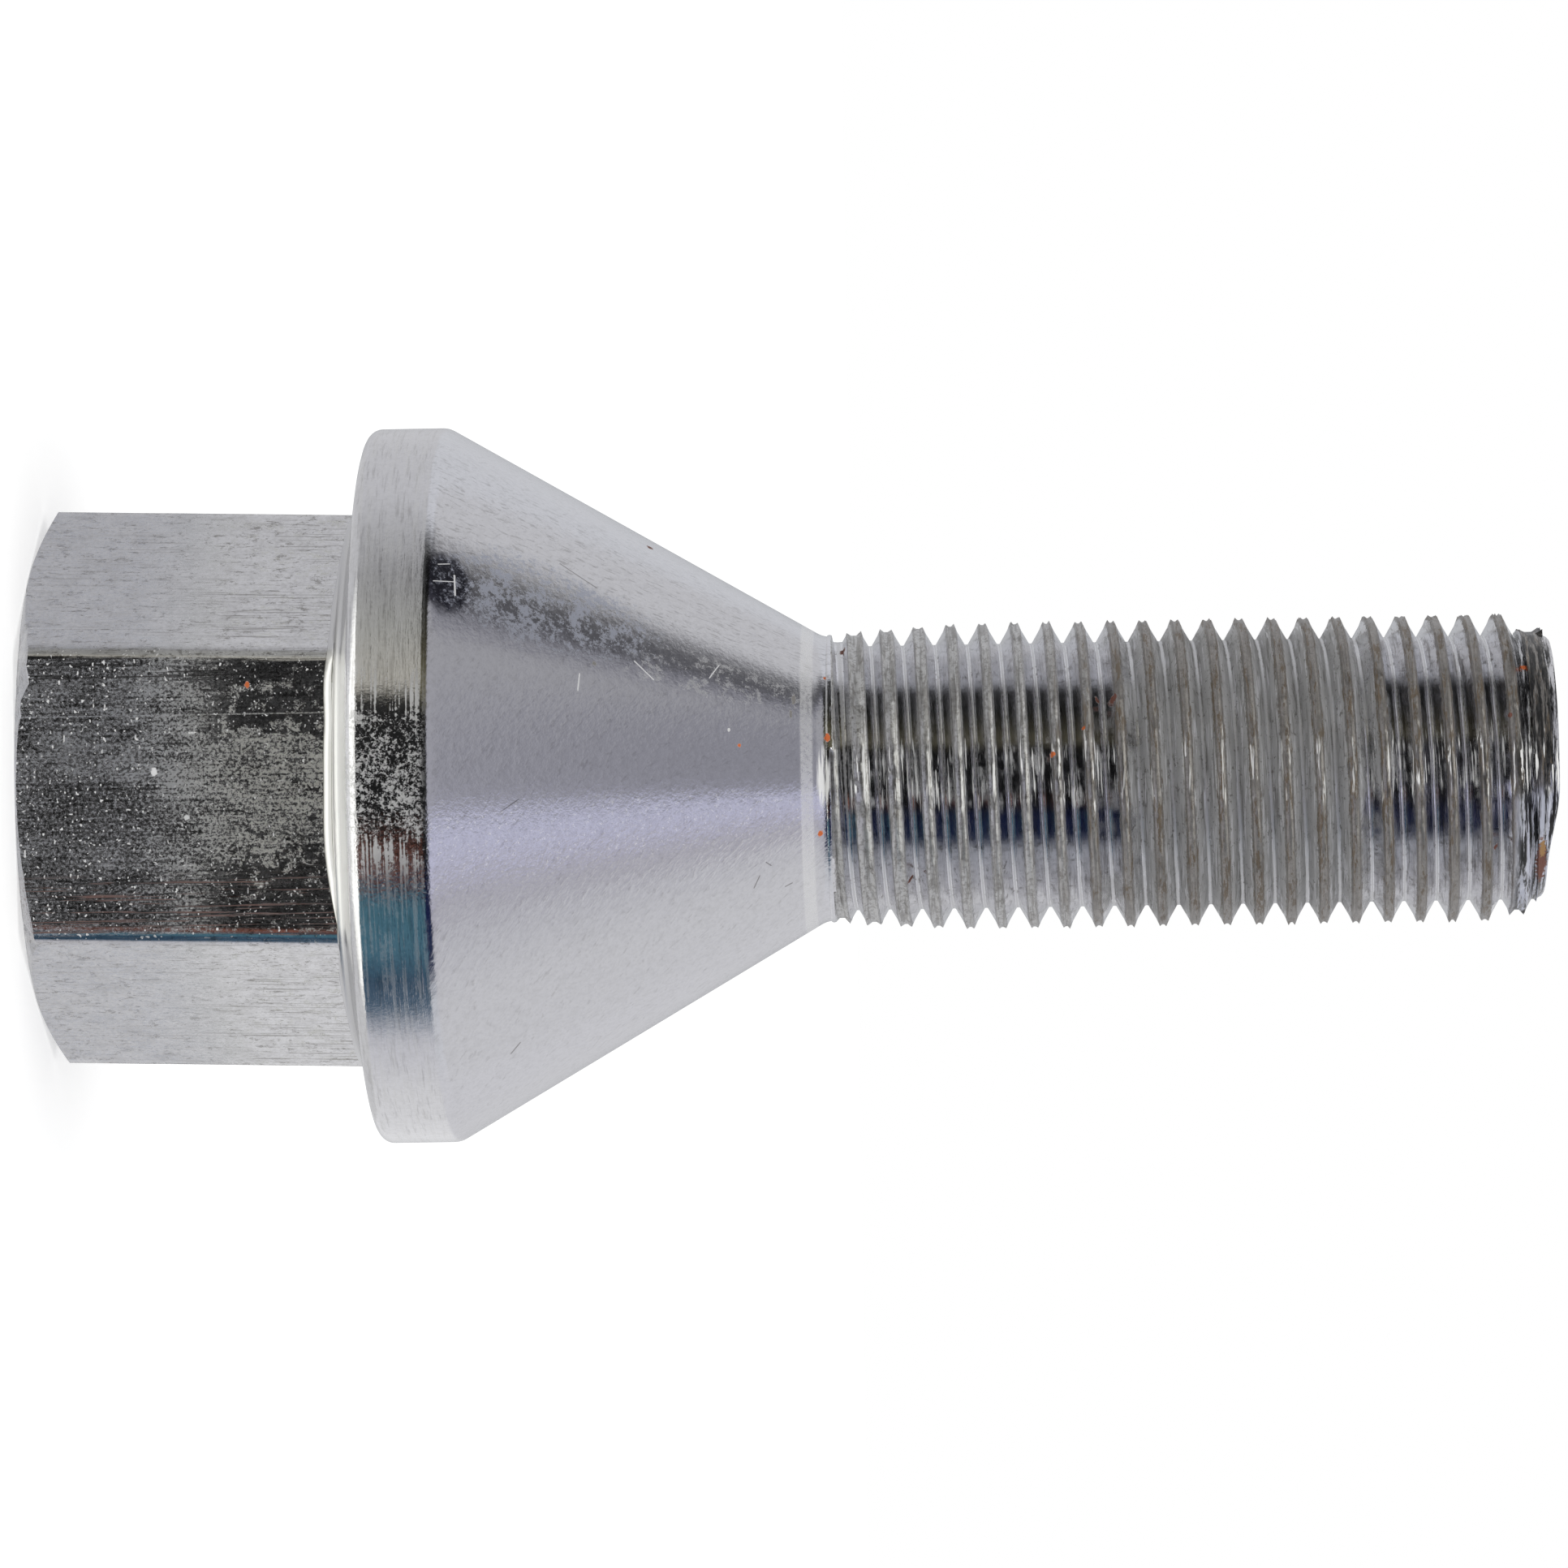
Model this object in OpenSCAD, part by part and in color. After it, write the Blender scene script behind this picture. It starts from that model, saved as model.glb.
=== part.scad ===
// Wheel bolt: hex head, round flange, cone seat and rolled right-hand thread, all one piece of steel.
// The bolt stands on the end of its head. The axis is Z and the thread points up.

/* [Hex head] */
// Width of the hex across its flats
hex_af = 18.9; // [17:0.1:21]
// Height of the hex, from the end of the head to the collar
hex_h = 12.2; // [8:0.1:16]
// How much is turned off each corner of the hex, along the radius
hex_corner_cut = 0.12; // [0.05:0.01:0.5]
// Slope of the chamfer on the end of the head, from the end face
head_chamfer_angle = 22; // [12:1:35]
// How far the edge of the flat end face lies inside the flats
head_face_inset = 0.1; // [0:0.05:1]

/* [Collar] */
// Height of the round collar between hex and flange
collar_h = 0.25; // [0.1:0.05:1]
// How far the collar lies inside the corners of the hex
collar_step = 0.06; // [0.02:0.01:0.2]
// Slope of the shoulder that runs from the flats up to the collar
collar_angle = 24; // [15:1:35]
// Radius of the fillet between the collar and the flange's face
collar_fillet = 0.25; // [0.1:0.05:0.5]

/* [Flange] */
// Diameter of the flange
flange_d = 27.9; // [26:0.1:34]
// Height of the rim, from the flange's face to the cone, both taken to the sharp corner
rim_h = 3; // [2:0.1:6]
// Slope of the flange's face on the head side
flange_angle = 9.5; // [0:0.5:15]
// Radius of the rim's edge on the head side
rim_round = 0.5; // [0.3:0.1:1]
// Radius of the rim's edge on the cone side
rim_cone_round = 0.9; // [0.3:0.1:2]

/* [Cone seat] */
// Full angle of the cone seat
cone_angle = 60; // [50:1:80]
// Radius of the fillet between the cone and the neck
neck_fillet = 1; // [0.5:0.1:3]

/* [Shank and thread] */
// Length from the small end of the cone to the tip
shank_l = 28.2; // [15:0.1:40]
// Outer diameter of the thread
thread_d = 11.86; // [11:0.01:14]
// Pitch of the thread
pitch = 1.25; // [1:0.25:2]
// How far the neck lies under the crests of the thread
neck_drop = 0.33; // [0.28:0.01:0.4]
// Length of plain neck past the fillet
neck_l = 0.05; // [0.05:0.05:2]
// Share of the pitch that the flat on a crest takes
crest_share = 0.175; // [0.125:0.005:0.2]
// Share of the pitch that the flat in a root takes
root_share = 0.11; // [0.08:0.005:0.15]
// Length over which the root reaches its full depth
root_runout = 1; // [0.5:0.1:3]
// Length over which the crest fills up to its full height
crest_runout = 7; // [2:0.5:10]
// Turn of the thread about the axis, in degrees
thread_turn = 289; // [0:1:359]

/* [Tip] */
// Slope of the tip's chamfer, from the axis
tip_angle = 25; // [15:1:45]
// Diameter of the flat end of the tip
tip_d = 10.04; // [9:0.02:10.1]
// Height of the bare edge past the last trace of thread
tip_edge = 0.25; // [0.1:0.05:0.6]

/* [Hidden] */

steel = [0.72, 0.72, 0.74];
// Degrees between two points along the thread, and the points in a full turn
step = 10;
turn_steps = 360 / step;
// Segments in a rounded edge or fillet, round the turned parts, and round the tip
arc_steps = 6;
turned_fn = 96;
tip_fn = 48;
// How far the collar's shoulder runs on inside the hex
shoulder_buried = 1;
// Slope of a thread flank, from a plane across the axis
flank_angle = 30;
// Height of the faint ridge left where the thread has run out
faint_ridge = 0.1;
// Gap that keeps the core inside the neck
core_gap = 0.03;
// Length of the thread's core that is buried in the neck and the cone
buried_l = 2 * pitch;

corner_r = hex_af / sqrt(3) - hex_corner_cut;
head_face_r = hex_af / 2 - head_face_inset;
collar_r = corner_r - collar_step;
flange_r = flange_d / 2;
crest_half_w = crest_share * pitch / 2;
root_half_w = root_share * pitch / 2;
thread_depth = (pitch / 2 - crest_half_w - root_half_w) / tan(flank_angle);
crest_r = thread_d / 2;
root_r = crest_r - thread_depth;
neck_r = crest_r - neck_drop;
core_r = neck_r - core_gap;

// Heights along the axis, from the end of the head
flange_z = hex_h + collar_h;
rim_z = flange_z + (flange_r - collar_r) * tan(flange_angle);
cone_z = rim_z + rim_h;
neck_z = cone_z + (flange_r - neck_r) / tan(cone_angle / 2);
fillet_reach = neck_fillet * tan(cone_angle / 4);
// The fillet at the collar ends where the collar does
collar_round = min(collar_fillet, collar_h / tan(45 - flange_angle / 2));
thread_z = neck_z + fillet_reach + neck_l;
tip_z = neck_z + shank_l;
core_z = thread_z - buried_l;
core_turns = ceil((tip_z - core_z) / pitch) + 1;

function clamp01(t) = min(max(t, 0), 1);
// Rises from 0 to 1, fast at first and then level
function ease(t) = let (c = clamp01(t)) c * (2 - c);
function mix(a, b, t) = a + (b - a) * t;

// Points of a round of radius r in a corner, given the unit directions of the edges into and out of it
function round_corner(corner, into, out, r) =
    let (
        side = sign(into[0] * out[1] - into[1] * out[0]),
        turn = acos(into * out),
        start = corner - into * r * tan(turn / 2),
        centre = start + side * r * [-into[1], into[0]],
        from = atan2(start[1] - centre[1], start[0] - centre[0])
    )
    [for (i = [0:arc_steps]) let (a = from + side * turn * i / arc_steps) centre + r * [cos(a), sin(a)]];

// Radius that the tip's chamfer allows at height z
function tip_limit(z) = tip_d / 2 + (tip_z - z) * tan(tip_angle);
// Radius of the root and of the crest at height z
function root_at(z) = mix(core_r - faint_ridge, root_r, ease((z - thread_z) / root_runout));
function crest_at(z) =
    let (rolled = mix(core_r, crest_r, ease((z - thread_z) / crest_runout)))
    max(min(rolled, tip_limit(z)), root_at(z) + faint_ridge);

// The four corners of the thread's profile, as radius and height, for the turn whose crest is at height z
function profile(z) =
    let (
        root_mid = z + pitch / 2,
        crest = crest_at(z),
        root = root_at(root_mid),
        crest_half = crest_half_w + (crest_r - crest) * tan(flank_angle),
        root_half = root_half_w + (root - root_r) * tan(flank_angle)
    )
    [
        [crest, z - crest_half],
        [crest, z + crest_half],
        [root, root_mid - root_half],
        [root, root_mid + root_half]
    ];

// The hex, with its corners turned round and its end chamfered
module hex() {
    intersection() {
        cylinder(h = hex_h, d = hex_af * 2 / sqrt(3), $fn = 6);
        rotate_extrude($fn = turned_fn)
            polygon([
                [0, 0],
                [head_face_r, 0],
                [corner_r, (corner_r - head_face_r) * tan(head_chamfer_angle)],
                [corner_r, hex_h],
                [0, hex_h]
            ]);
    }
}

// Collar, flange, cone seat and neck, turned from one profile
module flange_and_seat() {
    shoulder_r = hex_af / 2 - shoulder_buried;
    shoulder_z = hex_h - (collar_r - shoulder_r) * tan(collar_angle);
    face_dir = [cos(flange_angle), sin(flange_angle)];
    cone_dir = [-sin(cone_angle / 2), cos(cone_angle / 2)];
    up = [0, 1];
    rotate_extrude($fn = turned_fn)
        polygon(concat(
            [
                [0, shoulder_z],
                [shoulder_r, shoulder_z],
                [collar_r, hex_h]
            ],
            round_corner([collar_r, flange_z], up, face_dir, collar_round),
            round_corner([flange_r, rim_z], face_dir, up, rim_round),
            round_corner([flange_r, cone_z], up, cone_dir, rim_cone_round),
            round_corner([neck_r, neck_z], cone_dir, up, neck_fillet),
            [[neck_r, thread_z], [0, thread_z]]
        ));
}

// The threaded core: four helical lines of points, one for each corner of the profile
module thread_core() {
    rows = core_turns * turn_steps;
    // The first line goes on for one more turn, because it also closes the turn below it
    lines = [
        for (corner = [0:3])
            [
                for (row = [0:rows + (corner == 0 ? turn_steps : 0)])
                    let (p = profile(core_z + pitch * row / turn_steps)[corner])
                    [p[0] * cos(row * step), p[0] * sin(row * step), p[1]]
            ]
    ];
    points = concat(
        lines[0], lines[1], lines[2], lines[3],
        [[0, 0, core_z - pitch], [0, 0, core_z + core_turns * pitch + 2 * pitch]]
    );
    function id(corner, row) = corner == 4 ? row + turn_steps
        : corner * (rows + 1) + (corner > 0 ? turn_steps : 0) + row;
    foot = len(points) - 2;
    head = len(points) - 1;
    foot_loop = concat([for (row = [0:turn_steps]) id(0, row)], [for (corner = [3:-1:0]) id(corner, 0)]);
    head_loop = concat(
        [for (corner = [0:3]) id(corner, rows)],
        [for (row = [turn_steps:-1:0]) id(0, rows + row)]
    );
    polyhedron(points, concat(
        [
            for (row = [0:rows - 1], corner = [0:3])
                each [
                    [id(corner, row), id(corner + 1, row), id(corner + 1, row + 1)],
                    [id(corner, row), id(corner + 1, row + 1), id(corner, row + 1)]
                ]
        ],
        [for (i = [0:len(foot_loop) - 2]) [foot, foot_loop[i], foot_loop[i + 1]]],
        [for (i = [0:len(head_loop) - 2]) [head, head_loop[i], head_loop[i + 1]]]
    ));
}

// The thread, cut off square at its end, and the bare edge of the tip
module threaded_shank() {
    edge_z = tip_z - tip_edge;
    edge_r = min(tip_limit(edge_z), root_r - core_gap);
    cut_l = pitch * 4;
    difference() {
        rotate([0, 0, thread_turn])
            thread_core();
        translate([0, 0, edge_z])
            cylinder(h = cut_l, r = thread_d, $fn = tip_fn);
    }
    translate([0, 0, edge_z])
        cylinder(h = tip_edge, r1 = edge_r, r2 = min(tip_d / 2, edge_r), $fn = tip_fn);
}

module wheel_bolt() {
    color(steel) {
        hex();
        flange_and_seat();
        threaded_shank();
    }
}

wheel_bolt();
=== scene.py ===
# Wheel bolt: a worn, zinc plated bolt that stands on its head in a plain white studio.
# The sizes below are millimetres and degrees, and the objects are made in metres.
import math

import bpy
import numpy as np
from mathutils import Matrix, Vector, noise


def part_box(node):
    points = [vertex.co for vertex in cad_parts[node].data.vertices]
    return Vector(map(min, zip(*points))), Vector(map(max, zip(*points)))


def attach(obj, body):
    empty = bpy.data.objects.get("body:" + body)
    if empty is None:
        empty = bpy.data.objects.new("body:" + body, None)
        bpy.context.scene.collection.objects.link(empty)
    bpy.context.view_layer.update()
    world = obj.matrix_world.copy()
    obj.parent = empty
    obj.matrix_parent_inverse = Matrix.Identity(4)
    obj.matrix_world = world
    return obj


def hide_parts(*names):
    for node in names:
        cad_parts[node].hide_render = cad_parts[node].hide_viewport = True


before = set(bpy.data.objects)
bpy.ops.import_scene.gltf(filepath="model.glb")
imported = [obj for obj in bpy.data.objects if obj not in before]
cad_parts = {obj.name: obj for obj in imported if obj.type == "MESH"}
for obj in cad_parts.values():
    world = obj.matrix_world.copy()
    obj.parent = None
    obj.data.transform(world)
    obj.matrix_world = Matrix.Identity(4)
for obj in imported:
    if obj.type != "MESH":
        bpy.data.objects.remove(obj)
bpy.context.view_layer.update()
MM = 0.001


def tan_deg(angle):
    """The tangent of an angle in degrees."""
    return math.tan(math.radians(angle))


# Overall sizes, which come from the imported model
low_corner, high_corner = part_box("wheel_bolt")
FLANGE_R = high_corner.x / MM
TIP_Z = high_corner.z / MM

# Hex head
HEX_AF = 18.9
HEX_H = 12.2
CORNER_CUT = 0.12
HEAD_CHAMFER = 22
HEAD_FACE_INSET = 0.1
HEAD_FACE_R = HEX_AF / 2 - HEAD_FACE_INSET
CORNER_R = HEX_AF / math.sqrt(3) - CORNER_CUT
HEX_SIDES = 6
SECTOR = 360 / HEX_SIDES

# Collar and flange
COLLAR_H = 0.25
COLLAR_STEP = 0.06
COLLAR_R = CORNER_R - COLLAR_STEP
COLLAR_SLOPE = 24
COLLAR_FILLET = 0.25
FLANGE_SLOPE = 9.5
RIM_H = 3
RIM_ROUND = 0.5
RIM_CONE_ROUND = 0.9

# Cone seat and neck
CONE_ANGLE = 60
NECK_FILLET = 1
NECK_L = 0.05
NECK_DROP = 0.33
NECK_DIP = 0.05

# Thread and tip
THREAD_D = 11.86
PITCH = 1.25
CREST_SHARE = 0.175
ROOT_SHARE = 0.11
FLANK_SLOPE = 30
ROOT_RUNOUT = 1
CREST_RUNOUT = 7
FAINT_RIDGE = 0.1
CORE_GAP = 0.03
THREAD_TURN = 289
TIP_SLOPE = 25
TIP_R = 5.02
TIP_EDGE = 0.25

CREST_R = THREAD_D / 2
CREST_HALF = CREST_SHARE * PITCH / 2
ROOT_HALF = ROOT_SHARE * PITCH / 2
THREAD_DEPTH = (PITCH / 2 - CREST_HALF - ROOT_HALF) / tan_deg(FLANK_SLOPE)
ROOT_R = CREST_R - THREAD_DEPTH
NECK_R = CREST_R - NECK_DROP
CORE_R = NECK_R - CORE_GAP

# Heights along the bolt, from the end of the head
FLANGE_Z = HEX_H + COLLAR_H
RIM_Z = FLANGE_Z + (FLANGE_R - COLLAR_R) * tan_deg(FLANGE_SLOPE)
CONE_Z = RIM_Z + RIM_H
NECK_Z = CONE_Z + (FLANGE_R - NECK_R) / tan_deg(CONE_ANGLE / 2)
THREAD_Z = NECK_Z + NECK_FILLET * tan_deg(CONE_ANGLE / 4) + NECK_L
CORE_Z = THREAD_Z - 2 * PITCH
EDGE_Z = TIP_Z - TIP_EDGE


def clamp01(t):
    """Holds the value between 0 and 1."""
    return np.clip(t, 0, 1)


def ease(t):
    """Rises from 0 to 1, fast at first and then level."""
    t = clamp01(t)
    return t * (2 - t)


def smooth(low, high, value):
    """Rises gently from 0 at low to 1 at high."""
    t = clamp01((value - low) / (high - low))
    return t * t * (3 - 2 * t)


def add_object(name, data):
    """A new object in the scene."""
    added = bpy.data.objects.new(name, data)
    bpy.context.scene.collection.objects.link(added)
    return added


# The camera

PHOTO_SIZE = 1932
SENSOR = 36
CAMERA_DISTANCE = 262
FOCAL_PIXELS = 8263
CAMERA_AIM = (0.178, 0, 28.81)
CAMERA_AZIMUTH = 1.36
CAMERA_YAW = 1.8
CAMERA_ROLL = 0.97


def make_camera():
    """A long lens that looks at the bolt from the side, rolled so that the thread points right."""
    azimuth, yaw, roll = (math.radians(a) for a in (CAMERA_AZIMUTH, CAMERA_YAW, CAMERA_ROLL))
    back = Vector((-math.sin(azimuth), -math.cos(azimuth), 0))
    up = Vector((-math.cos(azimuth), math.sin(azimuth), 0))
    axis = Vector((0, 0, 1))
    toward = back * math.cos(yaw) + axis * math.sin(yaw)
    right = axis * math.cos(yaw) - back * math.sin(yaw)
    rolled_right = right * math.cos(roll) - up * math.sin(roll)
    rolled_up = right * math.sin(roll) + up * math.cos(roll)

    data = bpy.data.cameras.new("camera")
    data.sensor_width = SENSOR
    data.lens = FOCAL_PIXELS * SENSOR / PHOTO_SIZE
    data.clip_start = 10 * MM
    data.clip_end = 20
    camera = add_object("camera", data)
    place = Matrix((rolled_right, rolled_up, toward)).transposed().to_4x4()
    place.translation = (Vector(CAMERA_AIM) + toward * CAMERA_DISTANCE) * MM
    camera.matrix_world = place
    bpy.context.scene.camera = camera


# Node helpers

class Value:
    """A number, vector or colour that a node gives. What is worked out with it is a further node."""

    def __init__(self, nodes, socket):
        self.nodes = nodes
        self.socket = socket

    def __add__(self, other):
        return self.nodes.math("ADD", self, other)

    def __sub__(self, other):
        return self.nodes.math("SUBTRACT", self, other)

    def __rsub__(self, other):
        return self.nodes.math("SUBTRACT", other, self)

    def __mul__(self, other):
        return self.nodes.math("MULTIPLY", self, other)

    def __truediv__(self, other):
        return self.nodes.math("DIVIDE", self, other)

    def __or__(self, other):
        """The stronger of two masks."""
        return self.nodes.math("MAXIMUM", self, other)

    def __abs__(self):
        return self.nodes.math("ABSOLUTE", self)

    def without(self, mask, share=1.0):
        """This mask, less that share of the other mask."""
        return self * (mask * -share + 1.0)

    def step(self, low, high, bottom=0.0, top=1.0):
        """Goes smoothly from bottom at low to top at high."""
        inputs = {"Value": self, "From Min": low, "From Max": high, "To Min": bottom, "To Max": top}
        node = self.nodes.add("MapRange", inputs, interpolation_type="SMOOTHSTEP")
        return Value(self.nodes, node.outputs[0])


class Nodes:
    """Adds nodes to one node tree and links them."""

    def __init__(self, tree):
        self.tree = tree
        tree.nodes.clear()

    def add(self, kind, inputs=(), **settings):
        """A new node of this kind, with its settings made and its inputs filled in."""
        node = self.tree.nodes.new("ShaderNode" + kind)
        for name, value in settings.items():
            setattr(node, name, value)
        for name, value in dict(inputs).items():
            self.put(value, node.inputs[name])
        return node

    def put(self, value, socket):
        """Links another node's output to the socket, or sets its value."""
        if isinstance(value, Value):
            value = value.socket
        if isinstance(value, bpy.types.NodeSocket):
            self.tree.links.new(value, socket)
        else:
            socket.default_value = value

    def math(self, operation, a, b=0.0, clamp=False):
        node = self.add("Math", operation=operation, use_clamp=clamp)
        self.put(a, node.inputs[0])
        self.put(b, node.inputs[1])
        return Value(self, node.outputs[0])

    def vector(self, operation, a, b=(0, 0, 0)):
        node = self.add("VectorMath", operation=operation)
        self.put(a, node.inputs[0])
        self.put(b, node.inputs[1])
        number = operation in ("DISTANCE", "DOT_PRODUCT")
        return Value(self, node.outputs["Value" if number else "Vector"])

    def split(self, vector):
        """The x, y and z of a vector."""
        return [Value(self, part) for part in self.add("SeparateXYZ", {"Vector": vector}).outputs]

    def join(self, x, y, z):
        return self.add("CombineXYZ", {"X": x, "Y": y, "Z": z}).outputs[0]

    def noise(self, vector, scale, detail=2.0, roughness=0.5):
        """Noise from 0 to 1, mostly near 0.5. The scale is how many waves go into one unit."""
        inputs = {"Vector": vector, "Scale": scale, "Detail": detail, "Roughness": roughness}
        return Value(self, self.add("TexNoise", inputs).outputs["Fac"])

    def lined_noise(self, point, along, scale, detail=2.0, roughness=0.5):
        """Noise in lines along the bolt, on a point whose height is squeezed."""
        return self.noise(self.vector("MULTIPLY", point, (1, 1, along)), scale, detail, roughness)

    def mix(self, factor, a, b):
        """A mix of two colours: a where the factor is 0, and b where it's 1."""
        node = self.add("Mix", data_type="RGBA")
        self.put(factor, node.inputs["Factor"])
        self.put(a, node.inputs[6])
        self.put(b, node.inputs[7])
        return Value(self, node.outputs[2])

    def ramp(self, value, stops):
        """Colours by value, from a list of places between 0 and 1 and their colours."""
        node = self.add("ValToRGB", {"Fac": value})
        elements = node.color_ramp.elements
        while len(elements) < len(stops):
            elements.new(0.5)
        for element, (place, colour) in zip(elements, stops):
            element.position = place
            element.color = colour
        return node.outputs["Color"]


def grey(level):
    """An opaque grey."""
    return (level, level, level, 1)


def new_material(name):
    """A material, and its nodes to add to."""
    material = bpy.data.materials.new(name)
    material.use_nodes = True
    return material, Nodes(material.node_tree)


# Studio

BACKDROP = 1.0
SOFT_LIGHT = 0.8
FLOOR_HALF = 1.5
FLOOR_ALBEDO = 0.85
FLOOR_GLOW = 0.4
TENT_R = 150
TENT_FOOT = -400
TENT_TOP = 700
TENT_SIDES = 96
# The lamp's place, diameter and power, in metres and watts
LAMP_PLACE = (-0.05, -0.5, 0.6)
LAMP_SIZE = 0.5
LAMP_POWER = 0.8


def seen_directly(nodes):
    """1 for camera, glossy and transmission rays, and 0 for the rays that light the bolt softly."""
    path = nodes.add("LightPath").outputs
    seen = nodes.math("MAXIMUM", path["Is Camera Ray"], path["Is Glossy Ray"])
    return nodes.math("MAXIMUM", seen, path["Is Transmission Ray"])


def make_world():
    """White behind the bolt, and plain soft light from all round."""
    world = bpy.data.worlds.new("studio")
    world.use_nodes = True
    bpy.context.scene.world = world
    nodes = Nodes(world.node_tree)
    backdrop = nodes.add("Background", {"Color": grey(1), "Strength": BACKDROP})
    soft = nodes.add("Background", {"Color": grey(1), "Strength": SOFT_LIGHT})
    mixed = nodes.add("MixShader", {0: seen_directly(nodes), 1: soft.outputs[0], 2: backdrop.outputs[0]})
    nodes.add("OutputWorld", {"Surface": mixed.outputs[0]})


def make_floor():
    """A pale floor under the head. It shows white, apart from the bolt's shadow."""
    corners = [(x * FLOOR_HALF, y * FLOOR_HALF, 0) for x, y in ((-1, -1), (1, -1), (1, 1), (-1, 1))]
    mesh = bpy.data.meshes.new("floor")
    mesh.from_pydata(corners, [], [(0, 1, 2, 3)])
    floor = add_object("floor", mesh)
    material, nodes = new_material("floor")
    paint = nodes.add("BsdfDiffuse", {"Color": grey(FLOOR_ALBEDO)})
    glow = nodes.add("Emission", {"Color": grey(1), "Strength": seen_directly(nodes) * FLOOR_GLOW})
    lit_paint = nodes.add("AddShader", {0: paint.outputs[0], 1: glow.outputs[0]})
    nodes.add("OutputMaterial", {"Surface": lit_paint.outputs[0]})
    mesh.materials.append(material)
    floor.visible_glossy = False


def make_lamp():
    """One round lamp on the camera's side, high above the head and aimed at it."""
    data = bpy.data.lights.new("key", "AREA")
    data.shape = "DISK"
    data.size = LAMP_SIZE
    data.energy = LAMP_POWER
    lamp = add_object("key", data)
    lamp.location = LAMP_PLACE
    lamp.rotation_euler = (-Vector(LAMP_PLACE)).to_track_quat("-Z", "Y").to_euler()
    lamp.visible_glossy = False


def tent_shades(nodes, angle, stops):
    """Colours by the angle round the bolt: 0 is the camera's side, and + is below it in the photograph."""
    place = angle / 360.0 + 0.5
    return nodes.ramp(place, [(degrees / 360 + 0.5, (*colour, 1)) for degrees, *colour in stops])


# What the plated steel mirrors, as colours by the angle round the bolt. The five lists are for what lies
# below the head, beside the head and the rim, beside the thread, and over the neck's fillet and the cone.
LOW_SHADES = [
    (-180, 0.68, 0.68, 0.69),
    (-75, 0.62, 0.62, 0.63),
    (-50, 1.55, 1.55, 1.48),
    (60, 1.55, 1.55, 1.48),
    (80, 0.70, 0.70, 0.70),
    (180, 0.68, 0.68, 0.69),
]
HEAD_SHADES = [
    (-180, 0.45, 0.46, 0.48),
    (-150, 0.66, 0.66, 0.68),
    (-105, 0.64, 0.64, 0.66),
    (-84, 0.50, 0.50, 0.51),
    (-68, 0.36, 0.36, 0.36),
    (-50, 0.42, 0.42, 0.39),
    (-32, 0.54, 0.52, 0.46),
    (-28, 0.02, 0.02, 0.02),
    (15, 0.01, 0.01, 0.01),
    (20, 0.24, 0.09, 0.06),
    (27, 0.10, 0.06, 0.06),
    (34, 0.07, 0.17, 0.22),
    (50, 0.08, 0.18, 0.24),
    (60, 0.04, 0.08, 0.13),
    (70, 0.09, 0.14, 0.20),
    (84, 0.66, 0.66, 0.70),
    (110, 0.80, 0.80, 0.81),
    (150, 0.86, 0.86, 0.87),
    (180, 0.45, 0.46, 0.48),
]
THREAD_SHADES = [
    (-180, 0.45, 0.46, 0.48),
    (-150, 0.69, 0.70, 0.73),
    (-94, 0.73, 0.74, 0.78),
    (-80, 0.04, 0.04, 0.04),
    (-58, 0.02, 0.02, 0.018),
    (-44, 0.06, 0.055, 0.035),
    (-30, 0.17, 0.155, 0.10),
    (-25, 0.01, 0.01, 0.01),
    (24, 0.01, 0.01, 0.01),
    (34, 0.01, 0.015, 0.06),
    (54, 0.02, 0.03, 0.08),
    (68, 0.66, 0.68, 0.72),
    (110, 0.76, 0.76, 0.79),
    (150, 0.70, 0.70, 0.72),
    (180, 0.45, 0.46, 0.48),
]
NECK_SHADES = [
    (-180, 0.68, 0.68, 0.70),
    (-150, 0.65, 0.65, 0.67),
    (-101, 0.66, 0.66, 0.68),
    (-88, 0.15, 0.15, 0.16),
    (-78, 0.08, 0.08, 0.09),
    (-68, 0.29, 0.29, 0.33),
    (-60, 0.42, 0.42, 0.44),
    (8, 0.40, 0.40, 0.45),
    (18, 0.66, 0.67, 0.86),
    (29, 0.61, 0.61, 0.77),
    (42, 0.46, 0.45, 0.50),
    (58, 0.58, 0.58, 0.62),
    (85, 0.70, 0.70, 0.72),
    (150, 0.73, 0.73, 0.75),
    (180, 0.68, 0.68, 0.70),
]
CONE_SHADES = [
    (-180, 0.74, 0.74, 0.76),
    (-150, 0.70, 0.70, 0.72),
    (-101, 0.72, 0.72, 0.73),
    (-88, 0.15, 0.15, 0.16),
    (-78, 0.08, 0.08, 0.09),
    (-68, 0.29, 0.29, 0.33),
    (2, 0.31, 0.31, 0.35),
    (10, 0.40, 0.40, 0.49),
    (18, 0.68, 0.69, 0.88),
    (29, 0.62, 0.62, 0.78),
    (40, 0.44, 0.42, 0.48),
    (56, 0.52, 0.51, 0.55),
    (70, 0.84, 0.83, 0.86),
    (150, 0.83, 0.83, 0.85),
    (180, 0.74, 0.74, 0.76),
]
# The tent's shades above LOW_SHADES, each with the heights over which it takes over from the one below
TENT_LEVELS = [
    (-46, -40, HEAD_SHADES),
    (8, 20, THREAD_SHADES),
    (76, 90, NECK_SHADES),
    (205, 225, CONE_SHADES),
]


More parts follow.
